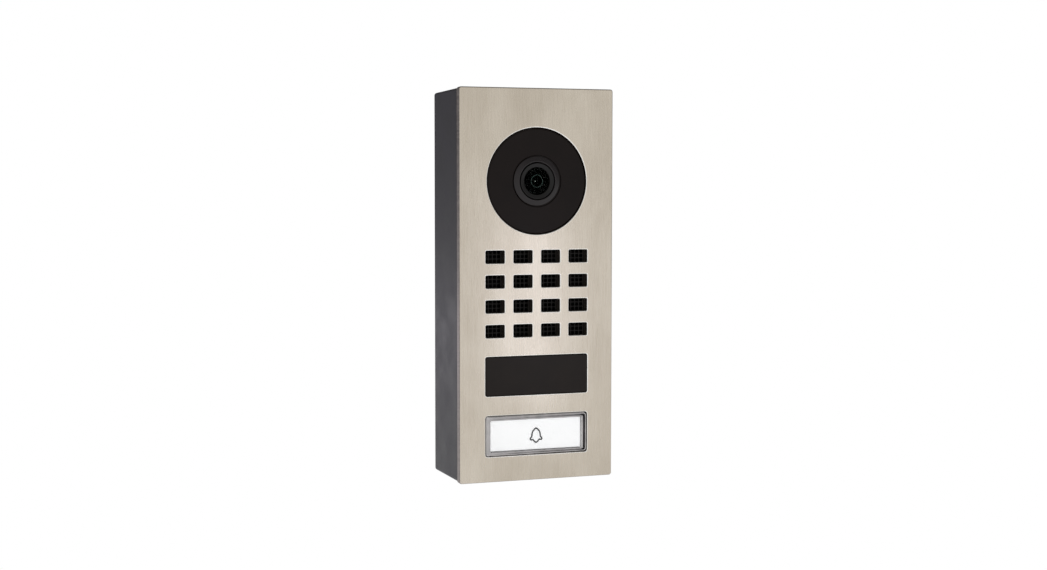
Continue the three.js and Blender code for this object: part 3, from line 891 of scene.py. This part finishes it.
def bell_symbol(x, z, front):
    """A printed line drawing of a bell: one thin raised line on the label."""
    half = bell_outline()
    points = half + [(0, -3.45)] + [(-px, pz) for px, pz in reversed(half[1:])]
    line = closed_curve(points)
    half_width, height = 0.38, 0.04 * MM
    loops = ([], [])
    count = len(line)
    for i, here in enumerate(line):
        along = (line[(i + 1) % count] - line[i - 1]).normalized()
        across = Vector((along.y, -along.x)) * half_width
        for loop, sign in zip(loops, (1, -1)):
            point = (here + across * sign) * MM
            loop.append((x + point.x, z + point.y))
    mesh = bmesh.new()
    rings = [
        ring(mesh, loops[0], front - height),
        ring(mesh, loops[1], front - height),
        ring(mesh, loops[1], front + height),
        ring(mesh, loops[0], front + height),
    ]
    for first, second in zip(rings, rings[1:] + rings[:1]):
        bridge(mesh, first, second)
    piece("bell_symbol", mesh, MATERIALS["ink"], (), CALL)


# ---------------------------------------------------------------- housing


def slot_outline(x, z, radius, length, upright, steps=8):
    """A long hole with round ends."""

    def loop(grow=0.0):
        r = radius + grow
        reach = (length - 2 * radius) / 2
        points = []
        for half, sign in enumerate((1, -1)):
            for i in range(steps + 1):
                angle = (half + i / steps) * math.pi
                across, along = r * math.cos(angle), r * math.sin(angle) + sign * reach
                points.append((x + across, z + along) if upright else (x + along, z - across))
        return points

    return loop


def screw_sink(x, z):
    """What a security screw's hole and its countersink take out of the housing wall at z."""
    profile = [(0, -1), (2.9, -1), (2.9, 0.3), (1.6, 1.6), (1.6, 4), (0, 4)]
    mesh = lathe([(radius * MM, depth * MM) for radius, depth in profile], segments=48)
    inward = -math.copysign(1, z)
    for vert in mesh.verts:
        across, depth, along = vert.co
        vert.co = (x + across, SECURITY_Y + along, z + inward * depth)
    bmesh.ops.recalc_face_normals(mesh, faces=mesh.faces)
    return mesh


def housing_shell():
    """The wall box: one moulded shell with screw slots, a cable way and a drain slot."""
    low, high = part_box("wall_housing")
    floor_y = high.y - HOUSING_FLOOR
    outer = rounded_rectangle(high.x - low.x, high.z - low.z, HOUSING_CORNER)
    cavity = rounded_rectangle(*HOUSING_CAVITY)
    ways = [rounded_rectangle(*CABLE_WAY)]
    ways += [
        slot_outline(x, z, WALL_SLOT_RADIUS, WALL_SLOT_LENGTH, upright=z > 0)
        for z in (WALL_SLOT_Z, -WALL_SLOT_Z)
        for x in (-WALL_SLOT_X, WALL_SLOT_X)
    ]
    mesh = bmesh.new()

    def wall(contour, levels):
        rings = [ring(mesh, contour(grow), y) for grow, y in levels]
        for first, second in zip(rings, rings[1:]):
            bridge(mesh, first, second)
        return rings[0], rings[-1]

    skin = [(-inset, y) for inset, y in edge_levels(low.y, high.y, 0.25 * MM, 0.6 * MM)]
    front, back = wall(outer, skin)
    lip, fillet = 0.15 * MM, 0.5 * MM
    inside = [(lip, low.y), (0, low.y + lip), (0, floor_y - fillet), (-fillet, floor_y)]
    mouth, bottom = wall(cavity, inside)
    edge = 0.3 * MM
    through = [(edge, high.y), (0, high.y - edge), (0, floor_y + edge), (edge, floor_y)]
    ends = [wall(way, through) for way in ways]
    cap(mesh, [front, mouth])
    cap(mesh, [back, *[end[0] for end in ends]])
    cap(mesh, [bottom, *[end[1] for end in ends]])
    drain = bmesh.new()
    bmesh.ops.create_cube(drain, size=1)
    bmesh.ops.scale(drain, vec=DRAIN_SIZE, verts=drain.verts)
    bmesh.ops.translate(drain, vec=(0, DRAIN_Y, low.z), verts=drain.verts)
    sinks = [screw_sink(x, z) for x in (-SECURITY_X, SECURITY_X) for z in (low.z, high.z)]
    bmesh.ops.recalc_face_normals(mesh, faces=mesh.faces)
    shell = carve(mesh, drain, *sinks)
    piece("housing_shell", shell, MATERIALS["charcoal_coat"], ["wall_housing"])


def cable_plug():
    """The rubber plug in the cable way, ribbed round its cable hole."""
    low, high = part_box("cable_grommet")
    z = middle("cable_grommet")[1]
    outline = rounded_rectangle(high.x - low.x, high.z - low.z, 3.5 * MM, 0, z)
    waist = rounded_rectangle(35.4 * MM, 23.4 * MM, 2.7 * MM, 0, z)
    hole = circle(5 * MM, 0, z, 64)
    lip = slab(outline, [hole], low.y, low.y + 2.2 * MM, 0.5 * MM, 0.2 * MM, 0.3 * MM)
    neck = slab(waist, [hole], low.y + 2.1 * MM, high.y, 0.2 * MM, 0.4 * MM, 0.3 * MM)
    ribs = []
    root, crest = high.y - 0.2 * MM, high.y + 0.3 * MM
    for radius in (6.6 * MM, 8.8 * MM, 11 * MM):
        profile = [
            (radius - 0.5 * MM, root),
            (radius - 0.3 * MM, crest),
            (radius + 0.3 * MM, crest),
            (radius + 0.5 * MM, root),
        ]
        ribs.append(lathe(softened(profile, 0.2 * MM), 0, z, 96))
    mesh = merged(lip, neck, *ribs)
    piece("cable_plug", mesh, MATERIALS["black_rubber"], ["cable_grommet"])


# ---------------------------------------------------------------- small parts


def button_springs():
    """Coil springs behind the button, closer wound at their ends."""
    turns, steps, wire, end_closing = 4.5, 24, 0.22 * MM, 0.05
    for side in SIDES:
        low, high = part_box(f"button_spring_{side}")
        centre = (low + high) / 2
        radius = (high.x - low.x) / 2 - wire
        rise = high.y - low.y - 2 * wire
        count = int(turns * steps)
        points = []
        for i in range(count + 1):
            angle = 2 * math.pi * i / steps
            share = i / count
            share += end_closing * math.sin(2 * math.pi * share)
            y = low.y + wire + rise * (1 - share)
            x, z = centre.x + radius * math.cos(angle), centre.z + radius * math.sin(angle)
            points.append(Vector((x, y, z)))
        coil = piece(
            f"coil_{side}",
            tube(points, wire, 12),
            MATERIALS["zinc_plated_steel"],
            [f"button_spring_{side}"],
        )
        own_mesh(coil)


def microphone():
    """A small can with a low rim round the dark felt on its front."""
    low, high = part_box("microphone")
    x, z = middle("microphone")
    radius = (high.x - low.x) / 2
    felt = low.y + 0.1 * MM
    profile = [
        (0, felt),
        (radius - 0.7 * MM, felt),
        (radius - 0.6 * MM, low.y),
        (radius, low.y),
        (radius, high.y),
        (0, high.y),
    ]
    mesh = lathe(softened(profile, 0.15 * MM), x, z, 48)
    piece("microphone_felt", mesh, MATERIALS["black_felt_and_shade"], ["microphone"])


# ---------------------------------------------------------------- carried-over CAD nodes


# These lie behind the sound slots. In place of their own material they take near-black, painted
# shade for the dark behind the slots.
SHADE_PAINTED_NODES = {
    "speaker_cone",
    "speaker_frame",
    "speaker_gasket",
    "speaker_magnet",
    "microphone_boot",
    "module_chassis",
}


def dress_cad_nodes():
    """Gives each CAD node its material, near-black painted shade to those behind the sound slots,
    and the ones that still show clean shading.
    """
    slots = {row["node"]: row["material_slot"] for row in frame["record"]["subparts"]}
    for name, obj in frame["nodes"].items():
        obj.data.materials.clear()
        obj.data.materials.append(MATERIALS["black_felt_and_shade" if name in SHADE_PAINTED_NODES else slots[name]])
        if not obj.hide_render:
            smooth(obj, 35)
        if name.startswith("security_screw") or name == "housing_gasket":
            bevel = obj.modifiers.new("soft_edges", "BEVEL")
            bevel.width = 0.08 * MM
            bevel.segments = 2
            bevel.limit_method = "ANGLE"
            bevel.angle_limit = math.radians(40)


# ---------------------------------------------------------------- stage


def towards(azimuth, elevation):
    """The direction from the object to that bearing, in degrees. At 0, 0 it faces the plate."""
    a, e = math.radians(azimuth), math.radians(elevation)
    return Vector((math.sin(a) * math.cos(e), -math.cos(a) * math.cos(e), math.sin(e)))


def place_camera():
    """The photo's viewpoint: left of the panel and a little above its middle."""
    roll = math.radians(-0.21)
    distance = 663.5 * MM
    target = Vector((-63.41 * MM, PLATE_FRONT, 1.39 * MM))
    back = towards(-17.244, 3.259)
    right = (-back).cross(Vector((0, 0, 1))).normalized()
    up = right.cross(-back)
    right, up = (
        right * math.cos(roll) + up * math.sin(roll),
        up * math.cos(roll) - right * math.sin(roll),
    )
    data = bpy.data.cameras.new("camera")
    data.sensor_width = 36
    data.lens = 49.22
    data.shift_x = 0.1084
    data.clip_start = 0.01
    data.clip_end = 100
    camera = bpy.data.objects.new("camera", data)
    bpy.context.scene.collection.objects.link(camera)
    turn = Matrix((right, up, back)).transposed()
    camera.matrix_world = Matrix.Translation(target + back * distance) @ turn.to_4x4()
    bpy.context.scene.camera = camera


def area_light(name, azimuth, elevation, distance, width, height, radiance, colour=(1, 1, 1)):
    """A soft box that looks at the object from that direction."""
    back = towards(azimuth, elevation)
    data = bpy.data.lights.new(name, "AREA")
    data.shape = "RECTANGLE"
    data.size = width
    data.size_y = height
    data.energy = radiance * math.pi * width * height
    data.color = colour
    light = bpy.data.objects.new(name, data)
    light.location = back * distance
    light.rotation_mode = "QUATERNION"
    light.rotation_quaternion = back.to_track_quat("Z", "Y")
    light.visible_camera = False
    bpy.context.scene.collection.objects.link(light)


def seen_white(tree, strength, behind):
    """A surface that the camera sees as plain white, and that lights the object as behind does."""
    nodes, links = tree.nodes, tree.links
    seen = nodes.new("ShaderNodeEmission")
    seen.inputs["Strength"].default_value = strength
    path = nodes.new("ShaderNodeLightPath")
    mix = nodes.new("ShaderNodeMixShader")
    links.new(path.outputs["Is Camera Ray"], mix.inputs["Fac"])
    links.new(behind, mix.inputs[1])
    links.new(seen.outputs[0], mix.inputs[2])
    return mix.outputs["Shader"]


def faded(tree, axis, start, end, first, last):
    """A smooth change from first to last, as the direction along one axis goes start to end."""
    nodes, links = tree.nodes, tree.links
    place = nodes.new("ShaderNodeTexCoord")
    split = nodes.new("ShaderNodeSeparateXYZ")
    spread = nodes.new("ShaderNodeMapRange")
    spread.interpolation_type = "SMOOTHSTEP"
    spread.inputs["From Min"].default_value = start
    spread.inputs["From Max"].default_value = end
    spread.inputs["To Min"].default_value = first
    spread.inputs["To Max"].default_value = last
    links.new(place.outputs["Generated"], split.inputs["Vector"])
    links.new(split.outputs[axis], spread.inputs["Value"])
    return spread.outputs["Result"]


def product(tree, first, second):
    """One grey value times another."""
    times = tree.nodes.new("ShaderNodeMath")
    times.operation = "MULTIPLY"
    tree.links.new(first, times.inputs[0])
    tree.links.new(second, times.inputs[1])
    return times.outputs["Value"]


def world():
    """A white surround to look at. As light, it is a room that is brightest in front."""
    made = bpy.data.worlds.new("studio")
    made.use_nodes = True
    tree = made.node_tree
    tree.nodes.clear()
    room = tree.nodes.new("ShaderNodeBackground")
    room.inputs["Color"].default_value = (0.98, 0.97, 0.95, 1)
    front = faded(tree, "Y", -0.9, 0.4, ROOM_FRONT, ROOM_BACK)
    below_ceiling = faded(tree, "Z", 0.3, 0.75, 1.0, ROOM_DIMMED)
    left = faded(tree, "X", 0.5, 0.85, 1.0, ROOM_DIMMED)
    light = product(tree, product(tree, front, below_ceiling), left)
    out = tree.nodes.new("ShaderNodeOutputWorld")
    tree.links.new(light, room.inputs["Strength"])
    tree.links.new(seen_white(tree, 1.0, room.outputs["Background"]), out.inputs["Surface"])
    bpy.context.scene.world = made


def floor():
    """A plain pale floor below the panel, which hangs clear of it as on a wall."""
    mesh = bmesh.new()
    height = -0.26
    reach = 6.0
    rings = [ring(mesh, circle(reach * share, 0, 0, 64)(), 0) for share in (1.0, 0.5)]
    bridge(mesh, *rings)
    mesh.faces.new(rings[1])
    for vert in mesh.verts:
        vert.co = (vert.co.x, vert.co.z, height)
    made = object_from(mesh, "floor")
    material, tree, shader = surface("floor", (0.9, 0.9, 0.9), 0.8, Emission_Strength=0.62)
    shader.inputs["Emission Color"].default_value = (1, 1, 1, 1)
    surface_out = tree.nodes["Material Output"].inputs["Surface"]
    tree.links.new(seen_white(tree, 1.0, shader.outputs["BSDF"]), surface_out)
    made.data.materials.append(material)


def studio():
    """A strip that shows in the brushed steel, a soft box, a low fill, the room and the floor."""
    area_light(
        "key_strip",
        azimuth=16.9,
        elevation=-5.2,
        distance=0.2,
        width=0.014,
        height=0.11,
        radiance=1.75,
        colour=(0.98, 1.0, 1.2),
    )
    area_light(
        "side_box", azimuth=45, elevation=12, distance=1.2, width=0.5, height=0.5, radiance=0.2
    )
    area_light(
        "low_fill",
        azimuth=-158,
        elevation=-9,
        distance=0.42,
        width=0.16,
        height=0.06,
        radiance=0.76,
        colour=(1.0, 0.93, 1.1),
    )
    world()
    floor()
    bpy.context.scene.view_settings.view_transform = "Standard"


place_camera()
front_plate()
camera_disc()
lens_parts()
sound_grid()
sensor_pane()
button_cap()
name_label()
housing_shell()
cable_plug()
button_springs()
microphone()
dress_cad_nodes()
studio()
